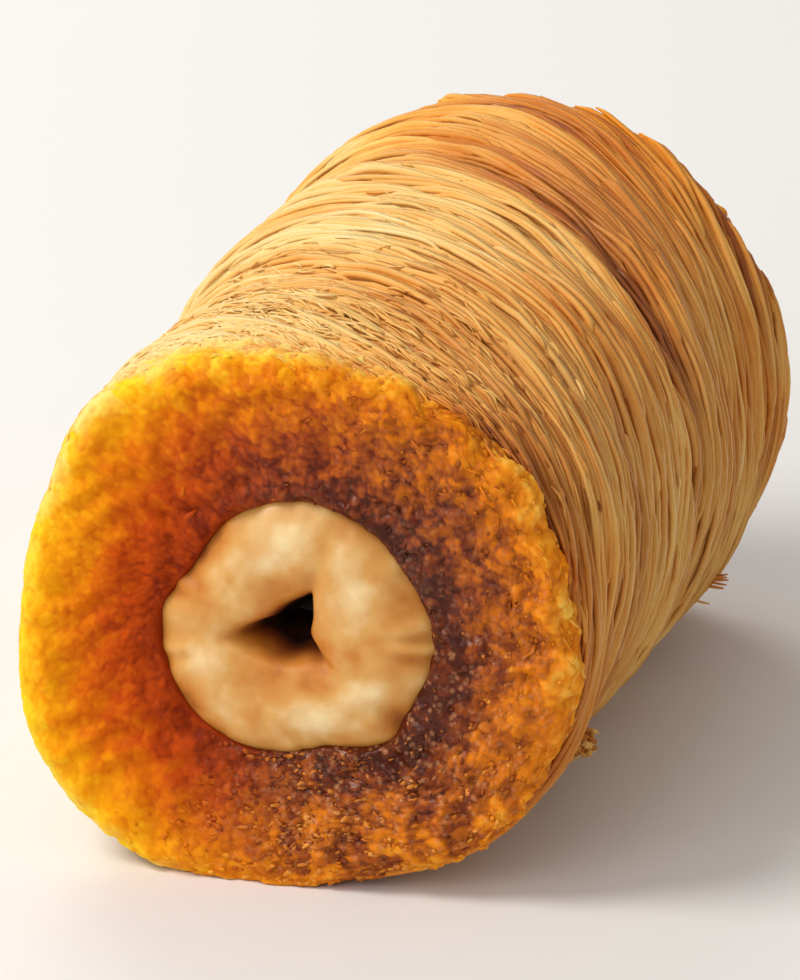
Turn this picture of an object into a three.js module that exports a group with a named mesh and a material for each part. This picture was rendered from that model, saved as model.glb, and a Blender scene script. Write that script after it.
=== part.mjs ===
// A kataifi roll: shredded dough wound round a pale nut filling, cut square at both ends and soaked in syrup.
// Millimetres, +Z up. The roll lies along Y with its shown end towards -Y, and the origin is under its middle,
// on the surface that it rests on.
//
// The skein of dough threads is wound as a slanting helix, so the side carries helical ridges, a groove where
// one turn of the skein meets the next, and the low lumps of something rolled by hand. Both cut ends are
// crumbly. The nut filling runs through the roll, and shows at each end as a plump, curled ring round a
// three-cornered pit.

import * as THREE from "three";

// ---- Driving dimensions ----

const ROLL_LENGTH = 43.6; // from cut end to cut end
const ROLL_RADIUS = 13.95; // of the wound dough at the shown end
const BACK_GROWTH = 0.017; // share by which the far end is fatter
const AXIS_HEIGHT = 12.65; // of the roll's axis over the surface, which presses the lowest threads flat
const PRESS_ROUND = 0.3; // height over which the side rounds into the pressed underside
const SETTLING = { share: 0.07, width: 0.75 }; // of the far end's underside, and the angle that it covers
const RIM_ROUND = 1.7; // radius of the rounded edge round each cut end
const FACE_DISH = 0.6; // depth by which a cut end sinks towards the nut

// Waves of the cross-section round the roll, as shares of its radius. The shown end is squarish and leans, and
// the far end has its corners elsewhere.
const SHOWN_OUTLINE = [
  { order: 2, size: 0.044, peak: 0.6 },
  { order: 3, size: 0.027, peak: -0.1 },
  { order: 4, size: 0.0235, peak: 0.72 },
];
const FAR_OUTLINE = [
  { order: 1, size: 0.02, peak: -0.6 },
  { order: 2, size: 0.029, peak: -0.68 },
  { order: 3, size: 0.0105, peak: 0.95 },
  { order: 4, size: 0.0125, peak: -0.2 },
];

const SKEIN_WIDTH = 20; // along the roll, one turn of the skein
const LOCKS_PER_SKEIN = 10; // locks of threads that stand out side by side in it
const LOCK_HEIGHT = 0.45; // from the hollow between two locks to the crest of one
const SLANT_SWING = 3.4; // along the roll, how far the locks lean off an even helix
const SLANT_ANGLE = 1.05; // round the roll, where they lean most
const SKEIN_START = 0.4; // along the roll, where a skein's edge crosses the right side
const SKEIN_CROWN = 0.26; // by which the skein stands proud just behind its edge
const GROOVE = {
  depth: 0.75,
  before: 0.06, // its width towards the shown end, as a share of the skein's
  behind: 0.09, // and towards the far end
  angle: 1.0, // round the roll, where it is deepest
  shownShare: 0.35, // of its depth that is left towards the shown end
  fade: 3, // along the roll, over which it loses that depth
};

// Ripples over the side: their height, how many go round, their turn for each millimetre along, and a phase.
const LUMPS = [
  { height: 0.18, around: 2, along: 0.21, phase: 1.05 },
  { height: 0.16, around: 3, along: -0.35, phase: 2.1 },
  { height: 0.07, around: 5, along: 0.46, phase: -0.63 },
];
const LOCK_WANDER = [ // off its even course, in half widths of a lock
  { height: 0.16, around: 3, along: 0.9, phase: 0 },
  { height: 0.1, around: 7, along: -0.4, phase: 0 },
];
const LOCK_SWELL = { height: 0.3, around: 4, along: 1.3, phase: 0 }; // of a lock's height, as a share of it
const LOCK_HOLLOW = 0.6; // share of a lock's height that lies under the roll's mean surface

// Crumbs of a cut end: their height, and waves across X and Z.
const CRUMB_HEIGHT = 0.5;
const CRUMB_WAVES = [
  { share: 0.2, x: 2.3, z: 1.2, phase: 0 },
  { share: 0.2, x: -1.5, z: 2.5, phase: 2 },
  { share: 0.1, x: 1.9, z: 3.1, phase: 1.1 },
];
const CRUMB_DRIFT = 1.5; // by which the waves bend
const FLAKE_HEIGHT = 0.35; // of the flakes round the rim
const FLAKES_AROUND = { coarse: 5, fine: 9 };

const NUT_RADIUS = 6.35; // mean, across the ring of the nut
const NUT_OUTLINE = [
  { order: 1, size: 0.025, peak: 3.6 },
  { order: 2, size: 0.05, peak: 0.15 },
  { order: 3, size: 0.022, peak: 0.35 },
];
const NUT_TWIST = 0.012; // turn of the nut's outline for each millimetre along the roll
const NUT_GAP = 0.3; // between the nut and the dough round it
const NUT_SINK = 0.35; // by which the nut's crest lies inside the cut end
const NUT_SHOULDER = 2.7; // depth over which the nut's outer side rounds up to its crest
const NUT_CREST = 0.6; // where the ring stands highest, as a share of the nut's radius
const NUT_LOBE = 0.16; // by which the three lobes of the ring stand higher than the seams between them
const HOLE_LIP = 0.9; // radius of the dough's edge round the nut
const PIT_CORNER = 2.5; // from the pit's middle to each of its three corners
const PIT_SIDE = 1.0; // from the pit's middle to the middle of each side
const PIT_SHARPNESS = 2.6; // how narrow the pit's corners are
const PIT_MOUTH = 0.9; // depth of the pit's edge under the crest
const PIT_DEPTH = 4.6;
const PIT_TAPER = 0.5; // width of the pit's floor as a share of its mouth
const PIT_OFFSET = { x: -0.12, z: -0.38 }; // of the pit's middle from the nut's middle
const PIT_LEAN = 1.2; // angle of the first corner

// ---- How finely the solids are faceted ----

const AROUND = 60; // facets round the roll
const SIDE_ROWS = 64; // along its side
const RIM_ROWS = 3; // over each rounded rim
const FACE_ROWS = 6; // rings across each cut end
const LIP_ROWS = 2; // over the edge of the hole
const NUT_AROUND = 48;
const SHOULDER_ROWS = 4; // from the nut's side up to its crest
const BOWL_ROWS = 3; // from the crest down to the pit's edge
const PIT_ROWS = 2; // down the pit

const TURN = 2 * Math.PI;
const QUARTER = TURN / 4;
const HALF = ROLL_LENGTH / 2;

// ---- Shape functions ----

const lerp = (a, b, t) => a + (b - a) * t;
const waves = (list, angle) => list.reduce((sum, w) => sum + w.size * Math.cos(w.order * (angle - w.peak)), 0);
const ripples = (list, angle, y) =>
  list.reduce((sum, r) => sum + r.height * Math.sin(r.around * angle + r.along * y + r.phase), 0);
const turnedFrom = (angle, middle) => Math.atan2(Math.sin(angle - middle), Math.cos(angle - middle));
const hump = (distance, width) => Math.exp(-((distance / width) ** 2));

// The cross-section's radius as a share of the roll's, along from 0 at the shown end to 1 at the far one.
function outline(angle, along) {
  const settled = SETTLING.share * hump(turnedFrom(angle, -QUARTER), SETTLING.width);
  return 1 + lerp(waves(SHOWN_OUTLINE, angle), BACK_GROWTH + waves(FAR_OUTLINE, angle) - settled, along);
}

// Shift along the roll of a thread that starts level with the right side, as it climbs round the roll.
function slant(angle) {
  return (SKEIN_WIDTH * angle) / TURN + SLANT_SWING * (Math.sin(angle - SLANT_ANGLE) + Math.sin(SLANT_ANGLE));
}

// Ridges of the locks and the crown of the skein, measured across the winding. The skein stands highest just
// behind its groove, and the groove is deepest at the upper right of the far half.
function windings(angle, y) {
  const across = (y - SKEIN_START - slant(angle)) / SKEIN_WIDTH;
  const share = across - Math.floor(across);
  const lock = Math.abs(Math.cos(Math.PI * (across * LOCKS_PER_SKEIN + ripples(LOCK_WANDER, angle, y))));
  const swell = 1 - LOCK_SWELL.height + ripples([LOCK_SWELL], angle, y);
  const groove = hump(share, GROOVE.behind) + 0.5 * hump(1 - share, GROOVE.before);
  const roundRoll = 0.5 + 0.5 * Math.cos(angle - GROOVE.angle);
  const depth = roundRoll * lerp(GROOVE.shownShare, 1, 1 / (1 + Math.exp(-y / GROOVE.fade)));
  const skein = depth * (SKEIN_CROWN * (1 - share) - GROOVE.depth * groove);
  return skein + LOCK_HEIGHT * swell * (lock - LOCK_HOLLOW);
}

function rollRadius(angle, y) {
  const along = (y + HALF) / ROLL_LENGTH;
  return ROLL_RADIUS * outline(angle, along) + ripples(LUMPS, angle, y) + windings(angle, y);
}

// Height of the crumbs at a point of a cut end, from -1 to 0.
function crumbs(x, z) {
  const drift = CRUMB_DRIFT * (Math.sin(x) + Math.sin(z));
  return CRUMB_WAVES.reduce((sum, w) => sum + w.share * Math.sin(w.x * x + w.z * z + w.phase + drift), -0.5);
}

// The nut's outline, the same all along the filling apart from a slow turn.
const nutRadius = (angle, y) => NUT_RADIUS * (1 + waves(NUT_OUTLINE, angle - (y + HALF) * NUT_TWIST));

// The three-cornered pit, about its own middle.
function pitRadius(angle) {
  const corner = Math.abs(Math.cos(1.5 * (angle - PIT_LEAN)));
  return lerp(PIT_SIDE, PIT_CORNER, corner ** PIT_SHARPNESS);
}

// ---- Solids as grids of stations round the roll ----

const point = (x, y, z) => new THREE.Vector3(x, y, z + AXIS_HEIGHT);
const polar = (angle, radius, y) => point(radius * Math.cos(angle), y, radius * Math.sin(angle));

// A closed geometry from stations, each a function from the angle to a point. The stations run along the
// outside from front to back, and come back inside; caps are the two points that close a form without a hole.
function gridGeometry(stations, around, caps) {
  const vertices = [];
  const faces = [];
  for (const station of stations) {
    for (let i = 0; i < around; i += 1) {
      vertices.push(...station((i * TURN) / around).toArray());
    }
  }
  const at = (row, i) => (row % stations.length) * around + (i % around);
  const rows = caps ? stations.length - 1 : stations.length;
  for (let row = 0; row < rows; row += 1) {
    for (let i = 0; i < around; i += 1) {
      faces.push(at(row, i), at(row + 1, i), at(row + 1, i + 1));
      faces.push(at(row, i), at(row + 1, i + 1), at(row, i + 1));
    }
  }
  if (caps) {
    const first = stations.length * around;
    const last = first + 1;
    vertices.push(...caps[0].toArray(), ...caps[1].toArray());
    for (let i = 0; i < around; i += 1) {
      faces.push(first, at(0, i), at(0, i + 1));
      faces.push(last, at(stations.length - 1, i + 1), at(stations.length - 1, i));
    }
  }
  const geometry = new THREE.BufferGeometry();
  geometry.setAttribute("position", new THREE.Float32BufferAttribute(vertices, 3));
  geometry.setIndex(faces);
  geometry.computeVertexNormals();
  return geometry;
}

// What would lie below the surface is pressed flat on it, with a rounded edge.
function pressed(p) {
  const rounded = Math.max(p.z + PRESS_ROUND, 0) ** 2 / (4 * PRESS_ROUND);
  return p.z < PRESS_ROUND ? p.setZ(rounded) : p;
}

// One end of the dough, from the rim over the cut end to the hole, as seen from outside. end is -1 for the
// shown end and 1 for the far one.
function doughEnd(end) {
  const stations = [];
  const rimY = HALF - RIM_ROUND;
  const holeRadius = (angle) => nutRadius(angle, end * HALF) + NUT_GAP;
  const relief = (angle, radius) => CRUMB_HEIGHT * crumbs(radius * Math.cos(angle), radius * Math.sin(angle));
  const flakes = (angle, turn) =>
    Math.sin(FLAKES_AROUND.fine * angle + turn) * Math.sin(FLAKES_AROUND.coarse * angle - 2 * turn);
  for (let i = 1; i <= RIM_ROWS; i += 1) {
    const turn = (QUARTER * i) / RIM_ROWS;
    stations.push((angle) => {
      const flake = FLAKE_HEIGHT * flakes(angle, turn) * Math.sin(2 * turn);
      const radius = rollRadius(angle, end * rimY) - RIM_ROUND * (1 - Math.cos(turn)) + flake;
      const depth = RIM_ROUND * Math.sin(turn) + relief(angle, radius) * Math.sin(turn);
      return pressed(polar(angle, radius, end * (rimY + depth)));
    });
  }
  for (let i = 1; i <= FACE_ROWS; i += 1) {
    const share = i / FACE_ROWS;
    stations.push((angle) => {
      const outer = rollRadius(angle, end * rimY) - RIM_ROUND;
      const radius = lerp(outer, holeRadius(angle) + HOLE_LIP, share);
      return pressed(polar(angle, radius, end * (HALF - FACE_DISH * share + relief(angle, radius))));
    });
  }
  for (let i = 1; i <= LIP_ROWS; i += 1) {
    const turn = (QUARTER * i) / LIP_ROWS;
    stations.push((angle) => {
      const radius = holeRadius(angle) + HOLE_LIP * (1 - Math.sin(turn));
      const rest = relief(angle, radius) * Math.cos(turn) - HOLE_LIP * (1 - Math.cos(turn));
      return polar(angle, radius, end * (HALF - FACE_DISH + rest));
    });
  }
  return stations;
}

function doughGeometry() {
  const side = [];
  for (let i = 0; i <= SIDE_ROWS; i += 1) {
    const y = lerp(RIM_ROUND - HALF, HALF - RIM_ROUND, i / SIDE_ROWS);
    side.push((angle) => pressed(polar(angle, rollRadius(angle, y), y)));
  }
  return gridGeometry([...side, ...doughEnd(1), ...doughEnd(-1).reverse()], AROUND);
}

// One end of the nut filling, from its side over the plump crest and down into the pit. The far end has the
// same pit seen from its own side.
function nutEnd(end) {
  const stations = [];
  const crestY = HALF - NUT_SINK;
  const facing = (angle) => (end < 0 ? angle : Math.PI - angle);
  const crestRadius = (angle) => NUT_CREST * nutRadius(angle, end * HALF);
  const seam = (angle) => NUT_LOBE * Math.cos(1.5 * (facing(angle) - PIT_LEAN)) ** 2;
  const shift = (p, share) => p.add(new THREE.Vector3(-end * PIT_OFFSET.x * share, 0, PIT_OFFSET.z * share));
  for (let i = 0; i <= SHOULDER_ROWS; i += 1) {
    const turn = (QUARTER * i) / SHOULDER_ROWS;
    stations.push((angle) => {
      const radius = lerp(crestRadius(angle), nutRadius(angle, end * HALF), Math.cos(turn));
      const depth = NUT_SHOULDER * (1 - Math.sin(turn)) + seam(angle) * Math.sin(turn);
      return polar(angle, radius, end * (crestY - depth));
    });
  }
  for (let i = 1; i <= BOWL_ROWS; i += 1) {
    const share = i / BOWL_ROWS;
    stations.push((angle) => {
      const radius = lerp(crestRadius(angle), pitRadius(facing(angle)), share);
      const depth = seam(angle) + PIT_MOUTH * share ** 2;
      return shift(polar(angle, radius, end * (crestY - depth)), share);
    });
  }
  for (let i = 1; i <= PIT_ROWS; i += 1) {
    const share = i / PIT_ROWS;
    stations.push((angle) => {
      const radius = pitRadius(facing(angle)) * lerp(1, PIT_TAPER, share);
      return shift(polar(angle, radius, end * (crestY - lerp(PIT_MOUTH, PIT_DEPTH, share))), 1);
    });
  }
  return stations;
}

function nutGeometry() {
  const floorY = HALF - NUT_SINK - PIT_DEPTH;
  const floorPoint = (end) => point(-end * PIT_OFFSET.x, end * floorY, PIT_OFFSET.z);
  return gridGeometry([...nutEnd(-1).reverse(), ...nutEnd(1)], NUT_AROUND, [floorPoint(-1), floorPoint(1)]);
}

// ---- The model ----

const doughMaterial = new THREE.MeshStandardMaterial({ color: 0xcf8a3a, roughness: 0.5, metalness: 0 });
const nutMaterial = new THREE.MeshStandardMaterial({ color: 0xe6bd80, roughness: 0.45, metalness: 0 });

function named(name, geometry, material) {
  const mesh = new THREE.Mesh(geometry, material);
  mesh.name = name;
  return mesh;
}

const roll = new THREE.Group();
roll.name = "kataifi_roll";
const dough = named("dough_roll", doughGeometry(), doughMaterial);
roll.add(dough, named("nut_filling", nutGeometry(), nutMaterial));

// The origin is under the middle of the whole roll.
dough.geometry.computeBoundingBox();
const middle = dough.geometry.boundingBox.getCenter(new THREE.Vector3());
for (const mesh of roll.children) {
  mesh.position.set(-middle.x, -middle.y, 0);
}

export default roll;
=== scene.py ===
# A kataifi roll: fine dough threads wound round a pale nut, cut square at both ends and soaked in syrup.
#
# The forms repeat the roll's own shape functions, in millimetres, so that every thread and crumb lies on
# the solid that it dresses. Along its side a closed core carries two even layers of wound threads and a
# loose one, with a matted sheet and short curled threads behind the shown rim. A thick crumbly slice covers
# each cut end, under grains of dough, and under flakes at the shown end. A tuft and a clump stick out at
# the lower right. The nut runs through the middle.

import math

import bpy
import numpy as np
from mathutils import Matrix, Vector


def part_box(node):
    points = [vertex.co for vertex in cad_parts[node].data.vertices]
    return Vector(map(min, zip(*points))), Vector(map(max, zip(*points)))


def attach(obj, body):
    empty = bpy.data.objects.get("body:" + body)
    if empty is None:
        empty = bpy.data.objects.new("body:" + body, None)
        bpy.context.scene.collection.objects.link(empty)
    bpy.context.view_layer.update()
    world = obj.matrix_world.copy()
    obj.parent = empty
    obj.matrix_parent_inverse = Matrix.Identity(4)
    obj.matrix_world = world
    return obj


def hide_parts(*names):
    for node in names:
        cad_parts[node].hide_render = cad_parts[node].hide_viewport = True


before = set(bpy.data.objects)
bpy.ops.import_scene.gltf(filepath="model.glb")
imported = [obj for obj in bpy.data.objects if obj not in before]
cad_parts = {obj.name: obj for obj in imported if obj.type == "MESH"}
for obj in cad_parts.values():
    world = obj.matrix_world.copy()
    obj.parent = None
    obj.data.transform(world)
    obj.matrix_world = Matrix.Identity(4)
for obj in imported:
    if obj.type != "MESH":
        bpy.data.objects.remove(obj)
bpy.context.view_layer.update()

MM = 0.001
TURN = 2 * math.pi
QUARTER = TURN / 4
LATTICE_PRIMES = np.array([73856093, 19349663, 83492791])

# ---- The roll's own sizes, in millimetres ----

ROLL_LENGTH = 43.6
HALF = ROLL_LENGTH / 2
ROLL_RADIUS = 13.95
BACK_GROWTH = 0.017
AXIS_HEIGHT = 12.65
PRESS_ROUND = 0.3
SETTLING_SHARE = 0.07
SETTLING_WIDTH = 0.75
RIM_ROUND = 1.7
FACE_DISH = 0.6
SLICE_REACH = 2.6  # of the crumbs of a cut end, along the side

# Waves of the cross-section: order, size as a share of the radius, and where they peak.
SHOWN_OUTLINE = [(2, 0.044, 0.6), (3, 0.027, -0.1), (4, 0.0235, 0.72)]
FAR_OUTLINE = [(1, 0.02, -0.6), (2, 0.029, -0.68), (3, 0.0105, 0.95), (4, 0.0125, -0.2)]

SKEIN_WIDTH = 20
LOCKS_PER_SKEIN = 10
LOCK_HEIGHT = 0.45
LOCK_HOLLOW = 0.6
SLANT_SWING = 3.4
SLANT_ANGLE = 1.05
SKEIN_START = 0.4
SKEIN_CROWN = 0.26
GROOVE_DEPTH = 0.75
GROOVE_BEFORE = 0.06
GROOVE_BEHIND = 0.09
GROOVE_ANGLE = 1.0
GROOVE_SHOWN_SHARE = 0.35
GROOVE_FADE = 3

# Ripples over the side: height, how many go round, turn for each millimetre along, and phase.
LUMPS = [(0.18, 2, 0.21, 1.05), (0.16, 3, -0.35, 2.1), (0.07, 5, 0.46, -0.63)]
LOCK_WANDER = [(0.16, 3, 0.9, 0), (0.1, 7, -0.4, 0)]
LOCK_SWELL = [(0.3, 4, 1.3, 0)]

CRUMB_HEIGHT = 0.5
CRUMB_WAVES = [(0.2, 2.3, 1.2, 0), (0.2, -1.5, 2.5, 2), (0.1, 1.9, 3.1, 1.1)]
CRUMB_DRIFT = 1.5

NUT_RADIUS = 6.35
NUT_OUTLINE = [(1, 0.025, 3.6), (2, 0.05, 0.15), (3, 0.022, 0.35)]
NUT_TWIST = 0.012
NUT_SINK = 0.35
NUT_CREST = 0.6
NUT_BULGE = 0.4  # of the nut's visible ends over the plain filling
NUT_LEAN = 0.45  # of those ends, to the upper right
NUT_LEAN_ANGLE = 0.6
NUT_SCALLOPS = 0.14  # height of small waves at the lower right of their outline
# Lobes and flats of their outline: where they are, height and width.
NUT_LOBES = [
    (-0.2, 0.12, 0.2), (0.48, -0.42, 0.36), (1.45, 0.33, 0.35), (2.58, -0.95, 0.45), (-3.1, 0.22, 0.3),
    (-2.25, 0.55, 0.5), (-0.78, 0.72, 0.35),
]
LIP_TUCK = 0.4  # of the dough's lip under the nut's outline
HOLE_ROUND = 0.6
PIT_MOUTH = 0.9
PIT_DEPTH = 4.2
PIT_TAPER = 0.35
PIT_OFFSET_X = -0.12
PIT_OFFSET_Z = -0.38

# ---- The camera ----

VIEW_AZIMUTH = math.radians(16)
VIEW_ELEVATION = math.radians(20)
VIEW_DISTANCE = 380
LENS = 299.8
SHOWN_END = (0, -21.8, 12.8)  # the middle of the shown cut end, in the shared frame
AIM_RIGHT = 5.21  # of that middle, as seen by the camera
AIM_UP = 6.8


# ---- Shape functions ----

def lerp(a, b, t):
    return a + (b - a) * t


def smooth(low, high, x):
    """0 below low, 1 above high, and eased between them."""
    t = np.clip((x - low) / (high - low), 0, 1)
    return t * t * (3 - 2 * t)


def hump(distance, width):
    return np.exp(-((distance / width) ** 2))


def turned_from(angle, middle):
    return np.arctan2(np.sin(angle - middle), np.cos(angle - middle))


def toward(angle, middle, width):
    """1 in one direction round the roll, and falling to 0 on both sides of it."""
    return hump(turned_from(angle, middle), width)


def humps(table, angle):
    return sum(height * toward(angle, middle, width) for middle, height, width in table)


def waves(table, angle):
    return sum(size * np.cos(order * (angle - peak)) for order, size, peak in table)


def ripples(table, angle, y):
    return sum(height * np.sin(around * angle + along * y + phase) for height, around, along, phase in table)


def outline(angle, along):
    settled = SETTLING_SHARE * toward(angle, -QUARTER, SETTLING_WIDTH)
    far = BACK_GROWTH + waves(FAR_OUTLINE, angle) - settled
    return 1 + lerp(waves(SHOWN_OUTLINE, angle), far, along)


def slant(angle):
    """Shift along the roll of a thread that starts level with the right side, as it climbs round the roll."""
    return SKEIN_WIDTH * angle / TURN + SLANT_SWING * (np.sin(angle - SLANT_ANGLE) + math.sin(SLANT_ANGLE))


def skein_share(angle, y):
    """How far a point lies across its turn of the skein, counted in skeins."""
    return (y - SKEIN_START - slant(turned_from(angle, QUARTER) + QUARTER)) / SKEIN_WIDTH


def windings(angle, y):
    across = skein_share(angle, y)
    share = across - np.floor(across)
    lock = np.abs(np.cos(np.pi * (across * LOCKS_PER_SKEIN + ripples(LOCK_WANDER, angle, y))))
    swell = 1 - LOCK_SWELL[0][0] + ripples(LOCK_SWELL, angle, y)
    groove = hump(share, GROOVE_BEHIND) + 0.5 * hump(1 - share, GROOVE_BEFORE)
    round_roll = 0.5 + 0.5 * np.cos(angle - GROOVE_ANGLE)
    depth = round_roll * lerp(GROOVE_SHOWN_SHARE, 1, 1 / (1 + np.exp(-y / GROOVE_FADE)))
    skein = depth * (SKEIN_CROWN * (1 - share) - GROOVE_DEPTH * groove)
    return skein + LOCK_HEIGHT * swell * (lock - LOCK_HOLLOW)


def roll_radius(angle, y):
    along = (y + HALF) / ROLL_LENGTH
    return ROLL_RADIUS * outline(angle, along) + ripples(LUMPS, angle, y) + windings(angle, y)


def crumbs(x, z):
    drift = CRUMB_DRIFT * (np.sin(x) + np.sin(z))
    return sum(share * np.sin(kx * x + kz * z + phase + drift) for share, kx, kz, phase in CRUMB_WAVES) - 0.5


def nut_radius(angle, y):
    return NUT_RADIUS * (1 + waves(NUT_OUTLINE, angle - (y + HALF) * NUT_TWIST))


def nut_edge(angle, end):
    """The visible outline of the nut at an end. The far end's is the same, seen from its own side."""
    facing = angle if end < 0 else math.pi - angle
    lobes = humps(NUT_LOBES, facing) + NUT_SCALLOPS * np.sin(7 * facing + 1.2) * toward(facing, -1.0, 1.1)
    return nut_radius(angle, end * HALF) + NUT_BULGE + NUT_LEAN * np.cos(facing - NUT_LEAN_ANGLE) + lobes


def pressed(z):
    """What would lie below the surface is pressed flat on it, with a rounded edge."""
    rounded = np.maximum(z + PRESS_ROUND, 0) ** 2 / (4 * PRESS_ROUND)
    return np.where(z < PRESS_ROUND, rounded, z)


def together(*parts):
    """Points put together from their parts, such as x and y."""
    return np.stack(np.broadcast_arrays(*parts), axis=-1)


def random_at(cell, seed):
    """A random value from 0 to 1 for each cell of a lattice."""
    key = np.bitwise_xor.reduce(cell * LATTICE_PRIMES[: cell.shape[-1]], axis=-1) ^ seed * 2654435761
    key = (key ^ (key >> 15)) * 2246822519 & 0xFFFFFFFF
    key = (key ^ (key >> 13)) * 3266489917 & 0xFFFFFFFF
    return (key ^ (key >> 16)) / 0xFFFFFFFF


def value_noise(points, seed):
    """Smooth random values from -1 to 1 at points in a plane or in space, with one change to each unit."""
    cell = np.floor(points).astype(np.int64)
    part = points - cell
    ease = part * part * (3 - 2 * part)
    total = np.zeros(points.shape[:-1])
    for corner in np.ndindex((2,) * points.shape[-1]):
        corner = np.array(corner)
        total += np.prod(np.where(corner == 1, ease, 1 - ease), axis=-1) * random_at(cell + corner, seed)
    return 2 * total - 1


def domes(points, seed):
    """Packed round domes, one to each unit of the plane: their height, near 1 at the top and below 0 in the
    gaps between them, and a random value for each."""
    cell = np.floor(points).astype(np.int64)
    nearest = np.full(points.shape[:-1], 9.0)
    tone = np.zeros(points.shape[:-1])
    for corner in np.ndindex(3, 3):
        beside = cell + np.array(corner) - 1
        centre = beside + together(random_at(beside, seed), random_at(beside, seed + 1))
        gap = np.sum((points - centre) ** 2, axis=-1)
        tone = np.where(gap < nearest, random_at(beside, seed + 2), tone)
        nearest = np.minimum(gap, nearest)
    return 1 - 2 * nearest, tone


def rough(points, grain, seed, octaves=3):
    """Several layers of noise, the coarsest as large as grain."""
    return sum(value_noise(points * (2**k / grain), seed + k) / 2**k for k in range(octaves))


def bent(points, reach, grain, seed):
    """Points of a plane, each moved by up to reach, with one change to each grain."""
    return points + reach * together(value_noise(points / grain, seed), value_noise(points / grain, seed + 1))


# ---- From the roll's own frame to the shared frame ----

def frame_shift():
    """The shift that brings the roll's own frame over the CAD model's, read from the box of the nut."""
    low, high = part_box("nut_filling")
    around = np.arange(48) * TURN / 48
    xs = np.concatenate([nut_radius(around, end * HALF) * np.cos(around) for end in (-1, 1)])
    x = (low.x + high.x) / 2 / MM - (xs.min() + xs.max()) / 2
    y = (low.y + high.y) / 2 / MM
    return np.array([x, y, 0.0])


SHIFT = frame_shift()


def polar(angle, radius, y):
    return together(radius * np.cos(angle), y, radius * np.sin(angle) + AXIS_HEIGHT)


# ---- Making meshes ----

TUBE_SIDES = 4
TUBE_CORNERS = 1.12  # how far a tube's corners reach past its radius, so that it is as thick as a round one


def make_piece(name, points, quads, material, values, node=None, tris=None):
    """A mesh piece that rides on the roll. values are numbers on its points, which its material reads."""
    mesh = bpy.data.meshes.new(name)
    placed = (points.reshape(-1, 3) + SHIFT) * MM
    corners = quads.reshape(-1)
    starts = np.arange(0, corners.size, 4)
    if tris is not None:
        starts = np.concatenate([starts, corners.size + np.arange(0, tris.size, 3)])
        corners = np.concatenate([corners, tris.reshape(-1)])
    mesh.vertices.add(len(placed))
    mesh.vertices.foreach_set("co", placed.astype(np.float32).ravel())
    mesh.loops.add(corners.size)
    mesh.loops.foreach_set("vertex_index", corners.astype(np.int32))
    mesh.polygons.add(starts.size)
    mesh.polygons.foreach_set("loop_start", starts.astype(np.int32))
    mesh.polygons.foreach_set("use_smooth", np.ones(starts.size, bool))
    mesh.update(calc_edges=True)
    for key, numbers in values.items():
        layer = mesh.attributes.new(key, "FLOAT", "POINT")
        numbers = np.broadcast_to(np.clip(numbers, 0, 1), points.shape[:-1])
        layer.data.foreach_set("value", numbers.astype(np.float32).ravel())
    mesh.materials.append(material)
    piece = bpy.data.objects.new(name, mesh)
    bpy.context.scene.collection.objects.link(piece)
    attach(piece, "root")
    if node:
        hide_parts(node)


def grid_quads(rows, around, closed):
    """Faces of a grid that closes round, and along too where closed says so."""
    row, i = np.meshgrid(np.arange(rows if closed else rows - 1), np.arange(around), indexing="ij")
    after = (row + 1) % rows
    beside = (i + 1) % around
    corners = [row * around + i, after * around + i, after * around + beside, row * around + beside]
    return np.stack(corners, axis=-1).reshape(-1, 4)


def unit(vectors):
    return vectors / (np.linalg.norm(vectors, axis=-1, keepdims=True) + 1e-9)


def make_tubes(name, points, radius, outward, values, material):
    """A piece of closed tubes with four sides. points are tubes x steps x 3, radius is tubes x steps, and
    outward and values can be given for each tube or for each of its steps."""
    along = unit(np.gradient(points, axis=1))
    across = unit(np.cross(along, outward))
    up = np.cross(across, along)
    turn = ((np.arange(TUBE_SIDES) + 0.5) * TURN / TUBE_SIDES)[:, None]
    ring = across[:, :, None] * np.cos(turn) + up[:, :, None] * np.sin(turn)
    vertices = points[:, :, None] + ring * TUBE_CORNERS * radius[:, :, None, None]
    count, steps = radius.shape
    first = np.arange(count)[:, None, None] * steps * TUBE_SIDES
    last = first + (steps - 1) * TUBE_SIDES
    walls = grid_quads(steps, TUBE_SIDES, False)[None] + first
    quads = np.concatenate([walls, first + np.array([[0, 1, 2, 3]]), last + np.array([[3, 2, 1, 0]])], axis=1)
    values = {key: numbers[..., None] for key, numbers in values.items()}
    make_piece(name, vertices, quads.reshape(-1, 4), material, values)


# ---- Materials ----

# Colours from the palest to the most baked or most deeply in painted shade, of dry dough, of soaked dough in
# a painted glow of light coming through it, and of the rest of the soaked dough; and of the nut, from the
# near black of painted shade at the bottom of its pit to its palest part.
DRY_DOUGH = [(0, "#fae2a2"), (0.25, "#f4c876"), (0.5, "#e0a250"), (0.75, "#b47032"), (1, "#643418")]
LIT_DOUGH = [(0, "#f8ce24"), (0.25, "#f2a20c"), (0.5, "#dc7408"), (0.75, "#c04a0c"), (1, "#82280c")]
ROASTED_DOUGH = [
    (0, "#f8ba4c"), (0.2, "#f09a22"), (0.42, "#dc7c0e"), (0.65, "#ac5816"), (0.85, "#783418"), (1, "#4e1e0e"),
]
NUT_FLESH_AND_SHADE = [(0, "#1c0804"), (0.16, "#8c4212"), (0.4, "#cc8028"), (0.64, "#dca454"), (1, "#f6dca6")]

# Tiny pale dots on the cut ends: painted glints of syrup.
GLINT_COLOUR = "#e0a070"
GLINT_SCALE = 2700.0
GLINT_SIZE = 0.48  # as a share of its cell
GLINT_STRENGTH = 0.62
RELIEF_HEIGHT = 0.0001  # of the fine grain, in metres
DRY_ROUGHNESS = 0.6


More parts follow.
